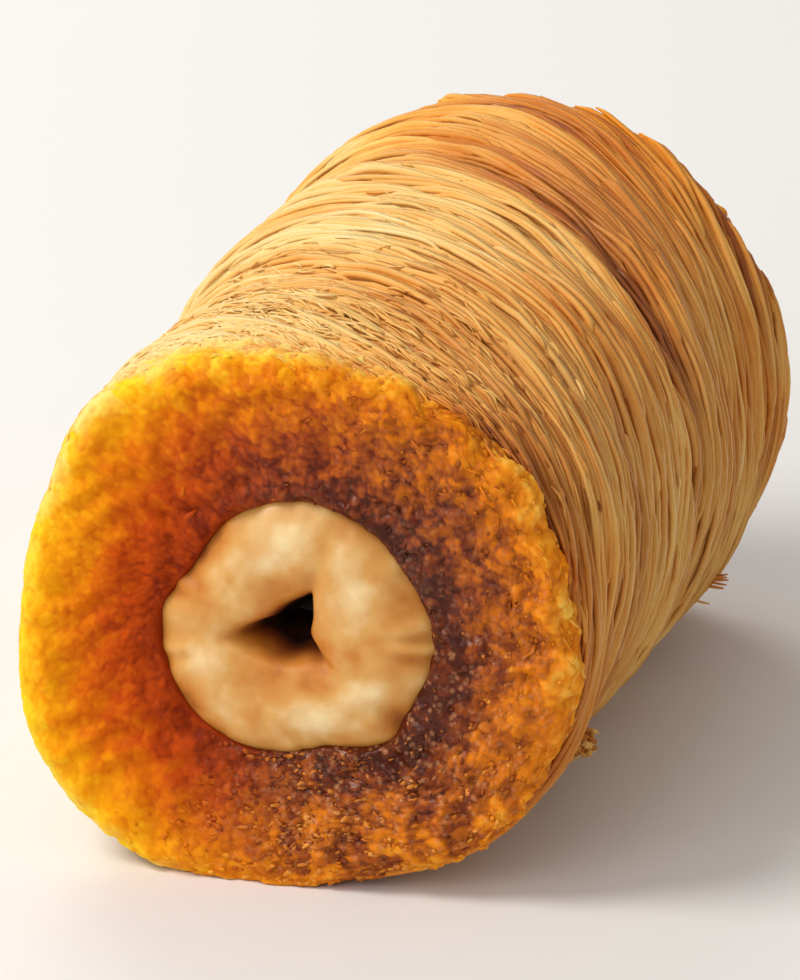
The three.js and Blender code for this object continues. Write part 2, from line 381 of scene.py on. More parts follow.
def colour(code):
    """A colour written as in a paint chart, as the linear numbers that shaders take."""
    parts = [int(code[i : i + 2], 16) / 255 for i in (1, 3, 5)]
    return [p / 12.92 if p <= 0.04045 else ((p + 0.055) / 1.055) ** 2.4 for p in parts] + [1.0]


def put(tree, slot, value):
    """Gives a socket its value, which is a plain one or another socket."""
    if isinstance(value, bpy.types.NodeSocket):
        tree.links.new(value, slot)
    else:
        slot.default_value = value


def new_group(name, inputs, outputs):
    """A node group, its sockets and its place on the object. inputs give their first values, and outputs
    their kinds."""
    group = bpy.data.node_groups.new(name, "ShaderNodeTree")
    for label, value in inputs.items():
        socket = group.interface.new_socket(label, in_out="INPUT", socket_type="NodeSocketFloat")
        socket.default_value = value
    for label, kind in outputs.items():
        group.interface.new_socket(label, in_out="OUTPUT", socket_type=kind)
    taken = group.nodes.new("NodeGroupInput").outputs
    given = group.nodes.new("NodeGroupOutput").inputs
    return group, taken, given, add_place(group)


def add_place(tree):
    return tree.nodes.new("ShaderNodeTexCoord").outputs["Object"]


def add_ramp(tree, share, stops):
    node = tree.nodes.new("ShaderNodeValToRGB")
    tree.links.new(share, node.inputs[0])
    ramp = node.color_ramp
    ramp.elements[0].position, ramp.elements[0].color = stops[0][0], colour(stops[0][1])
    ramp.elements[1].position, ramp.elements[1].color = stops[-1][0], colour(stops[-1][1])
    for position, code in stops[1:-1]:
        ramp.elements.new(position).color = colour(code)
    return node.outputs[0]


def add_math(tree, operation, a, b, clamp=False):
    node = tree.nodes.new("ShaderNodeMath")
    node.operation = operation
    node.use_clamp = clamp
    put(tree, node.inputs[0], a)
    put(tree, node.inputs[1], b)
    return node.outputs[0]


def add_noise(tree, place, scale, detail):
    node = tree.nodes.new("ShaderNodeTexNoise")
    put(tree, node.inputs["Vector"], place)
    put(tree, node.inputs["Scale"], scale)
    put(tree, node.inputs["Detail"], detail)
    return node.outputs["Fac"]


def add_mix(tree, share, a, b):
    node = tree.nodes.new("ShaderNodeMix")
    node.data_type = "RGBA"
    put(tree, node.inputs[0], share)
    put(tree, node.inputs[6], a)
    put(tree, node.inputs[7], b)
    return node.outputs[2]


def dough_colour_group():
    """Colour of baked dough. Its first input runs from pale to well done and dark, and carries painted shade
    too; Soak from dry to full of syrup; the third input from the brown of roasted dough to the orange of a
    painted glow of light coming through it; Tone from one thread to the next. Mottle is how blotchy it is,
    and the last input how thickly tiny pale dots, painted glints of syrup, lie on it."""
    inputs = {"Bake": 0.4, "Soak": 0.0, "Glow": 0.0, "Tone": 0.5, "Mottle": 0.2, "Glint": 0.0}
    group, taken, given, place = new_group("dough colour", inputs, {"Color": "NodeSocketColor"})
    blotch = add_math(group, "SUBTRACT", add_noise(group, place, 900.0, 4.0), 0.5)
    blotch = add_math(group, "MULTIPLY", blotch, taken["Mottle"])
    calm = add_math(group, "SUBTRACT", 1.0, add_math(group, "MULTIPLY", taken["Glow"], 0.5))
    blotch = add_math(group, "MULTIPLY", blotch, calm)
    tone = add_math(group, "MULTIPLY", add_math(group, "SUBTRACT", taken["Tone"], 0.5), 0.3)
    bake = add_math(group, "ADD", taken["Bake"], add_math(group, "ADD", blotch, tone), clamp=True)
    dry, lit, roasted = [add_ramp(group, bake, stops) for stops in (DRY_DOUGH, LIT_DOUGH, ROASTED_DOUGH)]
    soaked = add_mix(group, taken["Glow"], roasted, lit)
    mixed = add_mix(group, taken["Soak"], dry, soaked)
    # A painted glint of syrup is a dot with a soft edge. They gather in patches.
    cells = group.nodes.new("ShaderNodeTexVoronoi")
    put(group, cells.inputs["Scale"], GLINT_SCALE)
    put(group, cells.inputs["Vector"], place)
    dots = add_math(group, "SUBTRACT", GLINT_SIZE, cells.outputs["Distance"])
    dots = add_math(group, "MULTIPLY", dots, 3.5, clamp=True)
    thick = add_math(group, "SUBTRACT", add_noise(group, place, 1600.0, 2.0), 0.38)
    thick = add_math(group, "MULTIPLY", thick, 4.0, clamp=True)
    dots = add_math(group, "MULTIPLY", dots, add_math(group, "MULTIPLY", thick, taken["Glint"]))
    shown = add_math(group, "MULTIPLY", dots, GLINT_STRENGTH)
    put(group, given["Color"], add_mix(group, shown, mixed, colour(GLINT_COLOUR)))
    return group


def syrup_group():
    """How syrup lies on a surface: patches that are smoother and carry a clear film."""
    inputs = {"Wet": 0.5, "Dry Roughness": DRY_ROUGHNESS, "Wet Roughness": 0.25, "Patch Scale": 600.0}
    outputs = {"Roughness": "NodeSocketFloat", "Film": "NodeSocketFloat"}
    group, taken, given, place = new_group("syrup film", inputs, outputs)
    patch = add_math(group, "MULTIPLY", add_noise(group, place, taken["Patch Scale"], 2.0), 1.6)
    film = add_math(group, "MULTIPLY", patch, taken["Wet"], clamp=True)
    drop = add_math(group, "SUBTRACT", taken["Dry Roughness"], taken["Wet Roughness"])
    drop = add_math(group, "MULTIPLY", drop, film)
    put(group, given["Roughness"], add_math(group, "SUBTRACT", taken["Dry Roughness"], drop))
    put(group, given["Film"], film)
    return group


def grain_group():
    """Relief too fine to model: pores and blisters of baked dough or of the nut."""
    inputs = {"Pore Scale": 4000.0, "Blister Scale": 1200.0}
    group, taken, given, place = new_group("fine grain", inputs, {"Height": "NodeSocketFloat"})
    pores, blisters = [add_noise(group, place, taken[label], 4.0) for label in inputs]
    pores = add_math(group, "MULTIPLY", pores, 0.4)
    put(group, given["Height"], add_math(group, "ADD", pores, blisters))
    return group


DOUGH_COLOUR = dough_colour_group()
SYRUP = syrup_group()
GRAIN = grain_group()


def place_group(tree, group, **values):
    node = tree.nodes.new("ShaderNodeGroup")
    node.node_tree = group
    for label, value in values.items():
        put(tree, node.inputs[label.replace("_", " ")], value)
    return node.outputs


def read_value(tree, name):
    node = tree.nodes.new("ShaderNodeAttribute")
    node.attribute_name = name
    return node.outputs["Fac"]


def new_material(name):
    material = bpy.data.materials.new(name)
    material.use_nodes = True
    return material, material.node_tree


def set_shader(tree, values):
    """Gives the shader's own sockets their plain values and their links."""
    shader = tree.nodes["Principled BSDF"]
    for label, value in values.items():
        put(tree, shader.inputs[label], value)


def set_dressing(tree, tint, film, grain, strength):
    """Colour, film of syrup and relief of a material."""
    bump = tree.nodes.new("ShaderNodeBump")
    put(tree, bump.inputs["Strength"], strength)
    put(tree, bump.inputs["Distance"], RELIEF_HEIGHT)
    put(tree, bump.inputs["Height"], grain["Height"])
    links = {"Base Color": tint, "Roughness": film["Roughness"], "Coat Weight": film["Film"]}
    set_shader(tree, links | {"Normal": bump.outputs["Normal"]})


def dough_material(name, mottle, wet_roughness, gloss, bump, depth):
    """depth is how far light scatters in it, in metres. Only the thick closed pieces let any in."""
    material, tree = new_material(name)
    reads = {label: read_value(tree, label.lower()) for label in ("Bake", "Soak", "Glow", "Tone", "Glint")}
    tint = place_group(tree, DOUGH_COLOUR, Mottle=mottle, **reads)
    wet = read_value(tree, "wet")
    film = place_group(tree, SYRUP, Wet=wet, Dry_Roughness=DRY_ROUGHNESS, Wet_Roughness=wet_roughness)
    set_dressing(tree, tint["Color"], film, place_group(tree, GRAIN), bump)
    set_shader(tree, {
        "Specular IOR Level": gloss,
        "Coat Roughness": 0.15,
        "Coat IOR": 1.48,
        "Subsurface Weight": 0.5 if depth else 0.0,
        "Subsurface Radius": (1.0, 0.5, 0.15),
        "Subsurface Scale": depth,
    })
    return material


def nut_material():
    """A pale nut, tan in the pit and its seams. Deep in the pit it is near black and towards its rounded edge
    it is browner, and both are painted shade.
    """
    material, tree = new_material("nut flesh")
    mottle = add_math(tree, "SUBTRACT", add_noise(tree, add_place(tree), 700.0, 4.0), 0.5)
    mottle = add_math(tree, "MULTIPLY", mottle, 0.22)
    flesh_and_shade = add_math(tree, "ADD", read_value(tree, "flesh_and_shade"), mottle, clamp=True)
    wet = add_math(tree, "SUBTRACT", flesh_and_shade, 0.4, clamp=True)
    film = place_group(tree, SYRUP, Wet=wet, Dry_Roughness=0.55, Wet_Roughness=0.3, Patch_Scale=400.0)
    grain = place_group(tree, GRAIN, Pore_Scale=5200.0, Blister_Scale=1500.0)
    set_dressing(tree, add_ramp(tree, flesh_and_shade, NUT_FLESH_AND_SHADE), film, grain, 0.35)
    set_shader(tree, {
        "Coat Roughness": 0.22,
        "Subsurface Weight": 0.3,
        "Subsurface Radius": (1.0, 0.5, 0.22),
        "Subsurface Scale": 0.0012,
    })
    return material


# ---- How baked and how soaked the dough is, place by place ----

def side_values(angle, y, points):
    """The side is palest at the upper left near the shown end, partly from painted light, and over the middle
    of its top, where the paleness is a painted highlight. It is browner on the right, partly as painted
    shade, and in the hollows between threads and in the skein's groove, as painted shade. It is orange where
    syrup has soaked in: over the far shoulder, at the right near the shown end, and at the cut ends. Near the
    ends at the lower left it glows with painted light."""
    from_shown = y + HALF
    along = from_shown / ROLL_LENGTH
    right = 0.5 + 0.5 * np.cos(angle + 0.3)
    hollow = smooth(0.1, -0.45, windings(angle, y))
    shoulder = toward(angle, 1.15, 0.75)
    # Over the middle of the top the side is paler: a painted highlight.
    pale = hump(y - 1.0, 7.0) * toward(angle, 1.35, 0.5)
    # The browning on the right is partly painted shade, and in the hollows and the groove it is painted
    # shade.
    # How baked it is: first the right, the hollows, the far shoulder and the groove,
    bake = 0.17 + 0.3 * right + (0.14 + 0.1 * right) * (1 - 0.6 * along) * hollow
    bake += (0.14 * along + 0.1 * right) * shoulder
    share = skein_share(angle, y) % 1
    groove = (hump(share, 0.05) + hump(1 - share, 0.03)) * toward(angle, 0.8, 0.7)
    bake += 0.25 * groove * smooth(-8.0, 0.0, y)
    bake = bake + 0.08 * along**3 * right - 0.1 * along * right - 0.14 * pale
    # then large patches, and streaks that run along the winding,
    lane = together(SKEIN_WIDTH * skein_share(angle, y), 2.5 * turned_from(angle, QUARTER))
    streaks = 0.1 * rough(lane, 1.3, 35) + 0.09 * value_noise(lane / 2.6, 38)
    bake = bake + 0.1 * rough(points, 7.0, 31, 2) + streaks
    # and last what lies near the two rims.
    near_end = smooth(3.2, 0.6, HALF - np.abs(y))
    low_right = smooth(16.0, 3.0, from_shown) * toward(angle, -0.5, 0.8)
    bake += 0.15 * smooth(6.0, 1.0, from_shown) * toward(angle, 1.0, 0.7)
    bake = bake + 0.06 * smooth(2.5, 0.3, from_shown) + 0.08 * low_right
    # Near the ends at the lower left the side glows yellow: painted light coming through.
    lit = toward(angle, -2.8, 1.0) * near_end
    golden = smooth(4.5, 1.5, from_shown) * toward(angle, 1.9, 0.7)
    far_rim = near_end * (y > 0)
    bake = lerp(bake, 0.1, lit) - 0.2 * golden - 0.12 * far_rim
    # How soaked it is.
    patches = smooth(-0.1, 0.5, rough(points, 5.0, 81))
    soak = 0.7 * along * shoulder + 0.3 * patches * (0.3 + along)
    soak = soak + 0.2 * smooth(0.75, 1.0, along) - 0.3 * pale
    soak = soak + 0.15 * toward(angle, 0.4, 0.5) * smooth(1.0, 0.5, along) + 0.55 * low_right
    soak += 0.3 * smooth(9.0, 2.0, from_shown) * toward(angle, 0.8, 0.5)
    soak = lerp(np.maximum(soak, 0), lerp(0.7 + 0.2 * right, 1.0, lit), near_end - 0.5 * far_rim * right)
    # How much of the painted glow's orange the side takes: more on the left, and most near the ends at the
    # lower left and behind the shown rim at the upper left.
    glow = lerp(0.5 - 0.3 * right, 1.0, np.maximum(lit, 0.6 * golden))
    return {"bake": bake, "soak": soak, "glow": glow, "wet": 0.15 + 0.2 * right * hollow}


def clumps(points):
    """Where crumbs stick together in raised clumps, from 0 to 1."""
    return smooth(-0.05, 0.35, rough(points, 1.7, 41))


def painted_glow_share(angle):
    """How much painted glow, standing for light coming through the dough, a place round a cut end gets. It
    glows at the left.
    """
    return smooth(0.3, 0.75, 0.5 - 0.5 * np.cos(angle + 0.26))


def top_share(angle):
    return toward(angle, 1.55, 0.5)


def end_values(angle, across, end, points):
    """A cut end is yellow at its left rim and orange inside that, a painted glow of light coming through. It
    is brown at the right and bottom with golden clumps, partly painted shade, and darkest next to the nut,
    partly a painted shadow. Its rim is paler at the top, and dry or dusted with crumbs in places on the left.
    Tiny pale dots on it are painted glints of syrup. The far end is a little browner."""
    inward = np.clip((across - 0.35) / 1.65, 0, 1)
    outer_half = smooth(0.8, 0.4, inward)
    top = top_share(angle)
    low = toward(angle, -1.5, 0.8)
    # A painted glow of light coming through, at the left, and less towards the nut at the top.
    glow = painted_glow_share(angle) * (1 - 0.7 * top * inward)
    # Inward from the rim it browns towards the nut, partly painted shade, and right next to the nut a little
    # more: a painted shadow.
    on_left = lerp(0.01 + 0.2 * top, 0.87 + 0.06 * top, inward ** (1.1 - 0.35 * top))
    on_left += 0.08 * smooth(0.4, 0.75, inward)
    # Next to the nut on the right it is browner still, partly painted shade.
    by_nut = toward(angle, -0.15, 1.1) * smooth(0.72, 0.97, inward)
    golden = toward(angle, -1.0, 0.5) * outer_half
    # The right and the bottom are browner, partly painted shade.
    on_right = lerp(0.29 + 0.22 * low, 0.89 - 0.1 * low, smooth(0, 1, inward)) + 0.27 * by_nut
    on_right = on_right + 0.2 * golden + 0.16 * toward(angle, 1.05, 0.4) * outer_half
    clump = clumps(points) * (1 - 0.8 * inward) * (1 - glow)
    bake = lerp(on_right + 0.05 - (0.19 + 0.22 * golden) * clump, on_left, glow)
    bake += lerp(0.07, 0.035, glow) * rough(points, 2.5, 51)
    bake += (0.12 * smooth(0.5, 1.3, across) if end > 0 else 0.0)
    dusty = toward(angle, -2.1, 0.35) * smooth(0.9, 0.2, across) * smooth(-0.1, 0.5, rough(points, 1.2, 55))
    dried = toward(angle, 2.4, 0.4) * smooth(1.0, 0.2, across) * smooth(-0.3, 0.3, rough(points, 1.1, 57))
    soak = 1 - lerp(0.5, 0.75, top) * smooth(0.1 + 0.5 * top, -0.6, across)
    soak -= np.maximum(0.7 * dusty, 0.6 * dried)
    wet = (1 - glow) * (0.05 + 0.35 * inward)
    # Painted glints of syrup: most at the lower right and towards the nut, fewer on the far end.
    glint = (1 - glow) * (0.3 + 0.7 * toward(angle, -1.0, 1.0)) * (0.4 + 0.6 * inward)
    glint = glint * (1.0 if end < 0 else 0.4)
    values = {"bake": bake, "soak": soak, "glow": glow, "wet": wet, "glint": glint}
    return {key: numbers + 0 * bake for key, numbers in values.items()}


# ---- Points on the roll's surface ----

def on_side(angle, y, lift):
    """Points over the side. Past the rim they follow its round edge on to the cut end."""
    held = np.clip(y, RIM_ROUND - HALF, HALF - RIM_ROUND)
    turn = np.minimum(np.abs(y - held) / RIM_ROUND, QUARTER)
    radius = roll_radius(angle, held) - RIM_ROUND * (1 - np.cos(turn)) + lift * np.cos(turn)
    past = (RIM_ROUND + lift) * np.sin(turn) * np.sign(y)
    return polar(angle, radius, held + past)


def on_cut(angle, across, end, lift):
    """Points over a cut end. across runs along the side to the rim from -1 to 0, over the rim from 0 to 1,
    over the flat from 1 to 2, and over the lip of the hole from 2 to 3."""
    past = SLICE_REACH * np.clip(across, -1, 0)
    turn = np.clip(across, 0, 1) * QUARTER
    inward = np.clip(across - 1, 0, 1)
    lip = np.clip(across - 2, 0, 1) * QUARTER
    hole = nut_edge(angle, end) - LIP_TUCK + HOLE_ROUND
    outer = roll_radius(angle, end * (HALF - RIM_ROUND + past)) - RIM_ROUND * (1 - np.cos(turn))
    radius = lerp(outer, hole, inward) - HOLE_ROUND * np.sin(lip)
    relief = CRUMB_HEIGHT * crumbs(radius * np.cos(angle), radius * np.sin(angle))
    relief = relief * np.sin(turn) * np.cos(lip)
    out = HALF - RIM_ROUND * (1 - np.sin(turn)) - FACE_DISH * inward - HOLE_ROUND * (1 - np.cos(lip)) + relief
    radius += lift * (np.cos(turn) - np.sin(lip))
    return polar(angle, radius, end * (out + past + lift * np.sin(turn) * np.cos(lip)))


def laid_flat(angle, across):
    """Places over a cut end as if its rim and lip were laid flat, in millimetres."""
    reach = np.interp(across, [-1, 0, 1, 2, 3], [17.5, 14.9, 12.25, 7.25, 6.3])
    return together(reach * np.cos(angle), reach * np.sin(angle))


def stations(rows):
    """Where the rows of a grid over a cut end lie, as on_cut takes them."""
    return np.concatenate([lerp(first, last, (np.arange(n) + 1) / n) for n, first, last in rows])[:, None]


def rest_on_surface(points, clearance):
    """Lifts what reaches below the surface that the roll rests on."""
    points[..., 2] = pressed(points[..., 2] - clearance) + clearance
    return points


# ---- The core ----

CORE_AROUND = 300
CORE_SIDE_ROWS = 30
CORE_END_ROWS = [(5, 0, 1), (8, 1, 2), (3, 2, 3)]  # over the rim, the flat and the lip
CORE_SINK = 0.75  # of the core's side under the outline, for the threads that lie on it
CORE_END_SINK = 0.45  # of its ends, for the slices that lie on them

SLICE_ROWS = [(26, -1, 0), (34, 0, 1), (62, 1, 2), (10, 2, 3)]  # over the side, the rim, the flat and the lip
SLICE_DEPTH = 5.5
LIP_FLOOR = 1.9  # depth under the rim at which the slice closes on the nut
# How dark the lip of the hole is drawn, where the slice meets the nut: a painted shadow.
LIP_SHADE = 0.93
SMALL_CRUMB = 0.3
LARGE_CRUMB = 0.62
LONG_CRUMB = [0.62, 0.26]  # along the winding, and across it


def make_core(material):
    """The dense middle of the dough, under the threads and the crumbs."""
    angle = np.arange(CORE_AROUND)[None] * TURN / CORE_AROUND
    along = np.arange(CORE_SIDE_ROWS + 1)[:, None] / CORE_SIDE_ROWS
    y = lerp(RIM_ROUND - HALF, HALF - RIM_ROUND, along) + 0 * angle
    side = on_side(angle, y, -CORE_SINK)
    values = side_values(angle, y, side)
    # Except near the far end the core's side is browner: painted shade in the gaps between the threads over
    # it.
    values["bake"] += 0.3 * smooth(HALF - 3.0, HALF - 7.0, y)
    values["glint"] = 0 * y
    parts = [(side, values)]
    across = stations(CORE_END_ROWS)
    sink = lerp(CORE_SINK, CORE_END_SINK, np.clip(across, 0, 1))
    for end in (1, -1):
        points = on_cut(angle, across, end, -sink)
        values = end_values(angle, across, end, points)
        parts.append((points[::end], {key: numbers[::end] for key, numbers in values.items()}))
    points = np.concatenate([part[0] for part in parts])
    values = {key: np.concatenate([part[1][key] + 0 * part[0][..., 0] for part in parts]) for key in values}
    values["tone"] = 0.5 + 0.25 * rough(points, 0.7, 3, 2)
    points[..., 2] = pressed(points[..., 2])
    quads = grid_quads(len(points), CORE_AROUND, True)
    make_piece("dough_core", points, quads, material, values, "dough_roll")


def crumble(points, angle, across, end):
    """How far crumbs stand out of a cut end. They clump most at the right of the rim, above and below its
    middle, and end raggedly on the side, furthest from the rim at the top and the left of the shown end."""
    golden = toward(angle, 0.4, 0.7) + 0.8 * toward(angle, -0.95, 0.5)
    chunky = 0.11 + 0.08 * golden * smooth(1.7, 1.0, across) - 0.06 * painted_glow_share(angle)
    coarse = chunky * (clumps(points) - 0.8) * smooth(2.2, 1.0, across)
    further = 0.5 * toward(angle, 1.6, 0.8) + 0.35 * toward(angle, 3.0, 0.9) - 0.2
    ragged = across + 0.35 * rough(points, 1.0, 65) + (further if end < 0 else -0.8)
    return coarse - 0.12 * smooth(0.6, 0.0, across) - 0.7 * smooth(0.15, -0.35, ragged)


def make_slice(name, end, around, fineness, material):
    """The crumbly slice at a cut end, over its rim and a little way along the side."""
    angle = np.arange(around)[None] * TURN / around
    across = stations([(round(rows * fineness), first, last) for rows, first, last in SLICE_ROWS])
    flat = on_cut(angle, across, end, 0.0)
    spot = laid_flat(angle, across)
    uneven = bent(spot, 0.1, 0.35, 101)
    small, small_tone = domes(uneven / SMALL_CRUMB, 111)
    large, large_tone = domes(uneven / LARGE_CRUMB, 121)
    # At the bottom and the lower right the crumbs are longer, along the winding.
    low = toward(angle, -1.1, 0.9)
    wound = together(10 * turned_from(angle, -1.1) + 0 * across, np.hypot(spot[..., 0], spot[..., 1]))
    long_small, long_tone = domes(bent(wound, 0.25, 0.9, 103) / LONG_CRUMB, 141)
    small, small_tone = lerp(small, long_small, low), lerp(small_tone, long_tone, low)
    soft = painted_glow_share(angle) * (1 - 0.6 * top_share(angle))
    lift = lerp(0.07, 0.05, soft) * small + lerp(0.09, 0.035, soft) * large
    lift += lerp(0.07, 0.04, soft) * rough(flat, 0.9, 61)
    points = on_cut(angle, across, end, lift * smooth(3.0, 2.2, across) + crumble(flat, angle, across, end))
    values = end_values(angle, across, end, flat)
    # Over the lip of the hole the colour goes plain and dark: a painted shadow.
    in_lip = smooth(2.1, 2.9, across)
    # Paler on the tops of the crumbs and browner in the gaps between them: painted shade.
    bake = values["bake"] - lerp(0.09, 0.055, soft) * (small + large - 0.6)
    tone = 0.5 + 0.8 * (small_tone + large_tone - 1) * lerp(1.0, 0.5, soft)
    values |= {"bake": lerp(bake, LIP_SHADE, in_lip), "tone": lerp(tone, 0.5, in_lip)}
    # Inside the hole it meets the nut, and under the crumbs it is closed by a plain back.
    inside = end * (HALF - SLICE_DEPTH)
    outer = roll_radius(angle, inside) - 2 * CORE_SINK
    hole = nut_edge(angle, end) - 1.0
    floor = end * (HALF - LIP_FLOOR)
    back = [(hole, floor), (hole, inside), (lerp(hole, outer, 0.5), inside), (outer, inside)]
    points = np.concatenate([points] + [polar(angle, radius, y) for radius, y in back])[::end]
    plain = {"bake": 0.97, "soak": 1.0, "glow": 0.6, "wet": 0.0, "glint": 0.0, "tone": 0.5}
    for key, number in plain.items():
        values[key] = np.concatenate([values[key], np.full((len(back), around), number)])[::end]
    points[..., 2] = pressed(points[..., 2])
    make_piece(name, points, grid_quads(len(points), around, True), material, values)


# ---- The wound threads ----

THREAD_RADIUS = 0.15
SHORTEST_RUN = 4  # steps of a thread that is kept
LOOSE_STEPS = 24
AXIS_SHARE = 0.93  # of a thread's place along the roll, from which it faces outward
FELT_AROUND = 640
FELT_ROWS = 40
FELT_DEPTH = 2.0  # of the sheet's edges, below the side
FELT_START = 0.7  # behind the shown end
FELT_WIDTH = 0.8
FELT_MORE = 8.5  # wider at the top


def wound_threads(rng, starts, begin, end, steps, lift, radius, wander, tips):
    """Threads along the winding. starts, begin and end say for each where it crosses the right side and the
    angles that it spans; lift, radius and wander are numbers for each; tips is how far its ends dive."""
    share = np.linspace(0, 1, steps)[None]
    angle = lerp(begin, end, share) + 0 * starts
    phase = rng.uniform(0, TURN, (len(starts), 4))[..., None]
    sway = np.sin(2.1 * angle + phase[:, 0]) + 0.6 * np.sin(4.7 * angle + phase[:, 1])
    y = starts + slant(angle) + wander * sway
    bob = 0.07 * np.sin(3.3 * angle + phase[:, 2]) + 0.04 * np.sin(9.1 * angle + phase[:, 3])
    height = lift + bob - tips * (hump(share, 0.06) + hump(1 - share, 0.06))
    size = radius * (1 + 0.16 * np.sin(5.3 * angle + phase[:, 1]) + 0.1 * np.sin(11 * angle + phase[:, 2]))
    return angle, y, height, size


def cut_at_ends(angle, y, height, size, reach):
    """Breaks a batch of long threads near the cut ends, and keeps the runs between. On the right they reach
    further over the rim. reach is a random share for each thread."""
    runs = []
    for a, b, h, s, share in zip(angle, y, height, size, reach):
        over_rim = share * (0.35 + 0.45 * smooth(-0.2, 0.6, np.cos(a + 0.2))) - 0.25 + 0.3 * (b > 0)
        inside = np.flatnonzero(np.abs(b) < HALF - RIM_ROUND + RIM_ROUND * over_rim)
        for run in np.split(inside, np.flatnonzero(np.diff(inside) > 1) + 1):
            if run.size >= SHORTEST_RUN:
                runs.append((a[run], b[run], h[run], s[run]))
    return runs


def same_steps(runs, steps):
    """Runs of any length, each laid out anew with the same number of steps."""
    new = np.linspace(0, 1, steps)
    even = [[np.interp(new, np.linspace(0, 1, len(part)), part) for part in run] for run in runs]
    return np.moveaxis(np.array(even), 1, 0)


def thread_piece(name, rng, shape, steps, material, layer_shade):
    runs = cut_at_ends(*shape, rng.uniform(0, 1, len(shape[0])))
    angle, y, height, size = same_steps(runs, steps)
    from_tip = np.minimum(np.arange(steps), np.arange(steps)[::-1])
    size = size * np.interp(from_tip, [0, 1, 2], [0.4, 0.75, 1])
    points = on_side(angle, y, height)
    outward = unit(points - together(0, AXIS_SHARE * points[..., 1], AXIS_HEIGHT))
    points = rest_on_surface(points, TUBE_CORNERS * size)
    values = side_values(angle, y, points)
    # Lower layers are browner and the loose top layer paler: painted shade by depth.
    values["bake"] += layer_shade
    values["tone"] = rng.normal(0.5, 0.2, (len(runs), 1))
    make_tubes(name, points, size, outward, values, material)


def make_wound_layer(name, seed, material, pitch, steps, lift, radius, layer_shade=0.0):
    """One even layer of long threads side by side."""
    rng = np.random.default_rng(seed)
    count = int((ROLL_LENGTH + 2 * SKEIN_WIDTH) / pitch)
    places = np.arange(count)[:, None] + rng.uniform(-0.3, 0.3, (count, 1))
    starts = -HALF - slant(TURN) + places * pitch
    shape = wound_threads(
        rng, starts, -QUARTER, TURN - QUARTER, steps=80,
        lift=lift + rng.uniform(-0.07, 0.07, (count, 1)),
        radius=radius * rng.uniform(0.75, 1.3, (count, 1)),
        wander=rng.uniform(0.03, 0.2, (count, 1)), tips=0.2,
    )
    thread_piece(name, rng, shape, steps, material, layer_shade)


def make_loose_layer(name, seed, material, count, lift, layer_shade):
    """Shorter threads that lie over the even ones, at slightly other slants."""
    rng = np.random.default_rng(seed)
    middle = rng.uniform(0, TURN, (count, 1))
    span = rng.uniform(0.4, 2.4, (count, 1))
    starts = rng.uniform(-HALF - 2, HALF + 2, (count, 1)) - slant(middle)
    shape = wound_threads(
        rng, starts, middle - span / 2, middle + span / 2, steps=48,
        lift=lift + rng.uniform(-0.08, 0.1, (count, 1)),
        radius=THREAD_RADIUS * rng.uniform(0.7, 1.25, (count, 1)),
        wander=rng.uniform(0.1, 0.4, (count, 1)), tips=0.3,
    )
    thread_piece(name, rng, shape, LOOSE_STEPS, material, layer_shade)


def make_felt(name, material):
    """The matted sheet of the finest threads behind the shown rim. It is widest at the top and the upper
    left, and elsewhere it dips out of sight."""
    angle = np.arange(FELT_AROUND)[None] * TURN / FELT_AROUND
    share = np.linspace(0, 1, FELT_ROWS)[:, None]
    dense = toward(angle, 2.0, 0.75)
    y = -HALF + FELT_START + share * (FELT_WIDTH + FELT_MORE * dense)
    course = bent(together(angle * ROLL_RADIUS, y - slant(angle)), 0.5, 1.5, 131)
    fine = value_noise(course / [0.9, 0.22], 133)
    loose = value_noise(course / [1.6, 0.5], 134)
    flat = on_side(angle, y, 0)
    fray = smooth(0.45, 1.0, share + 0.3 * rough(flat, 1.4, 135))
    lift = -0.22 + 0.05 * fine + 0.06 * loose - 0.6 * fray - 0.9 * smooth(0.5, 0.1, dense)
    values = side_values(angle, y, flat)
    values["bake"] = values["bake"] - 0.12 - 0.1 * fine - 0.08 * loose
    values["tone"] = 0.5 + 0.4 * loose
    # A row more at each edge closes the sheet, out of sight.
    edges = ((1, 1), (0, 0))
    lift = np.pad(lift, edges, constant_values=-FELT_DEPTH)
    values = {key: np.pad(numbers + 0 * y, edges, "edge") for key, numbers in values.items()}
    points = rest_on_surface(on_side(angle, np.pad(y, edges, "edge"), lift), 0.0)
    make_piece(name, points, grid_quads(len(points), FELT_AROUND, True), material, values)


def make_fuzz(name, seed, count, material):
    """Short curled threads that lie loose on the others, most of them at the top behind the shown rim. A
    few are dark."""
    rng = np.random.default_rng(seed)
    each = (count, 1)
    angle = rng.normal(2.0, 0.6, each)
    y = -HALF + RIM_ROUND * 0.6 + np.minimum(rng.exponential(4.5, each), ROLL_LENGTH - 2 * RIM_ROUND)
    share = np.array([[-0.5, -0.17, 0.17, 0.5]])
    length = rng.uniform(0.5, 2.4, each)
    run = share * length
    bend = length * (0.25 - share**2) * rng.normal(0, 0.3, each)
    lean = rng.normal(0, 1, each) * lerp(0.1, 0.35, smooth(1.0, 1.8, angle))
    angles = angle + (run * np.cos(lean) - bend * np.sin(lean)) / ROLL_RADIUS
    ys = y + slant(angles) - slant(angle) + run * np.sin(lean) + bend * np.cos(lean)
    points = on_side(angles, ys, -0.14 + rng.uniform(-0.08, 0.05, each) - 0.25 * share**2)
    outward = unit(points - polar(angles, 0, ys))
    size = rng.uniform(0.035, 0.075, each) * np.array([[0.5, 1.0, 1.0, 0.5]])
    points = rest_on_surface(points, 1.2 * size)
    values = side_values(angles, ys, points)
    dark = 0.25 * (rng.uniform(0, 1, each) < 0.14)
    values["bake"] = values["bake"] + rng.normal(-0.1, 0.07, each) + dark
    values["tone"] = rng.uniform(0.1, 0.9, each)
    make_tubes(name, points, size, outward, values, material)


# ---- The cut ends ----

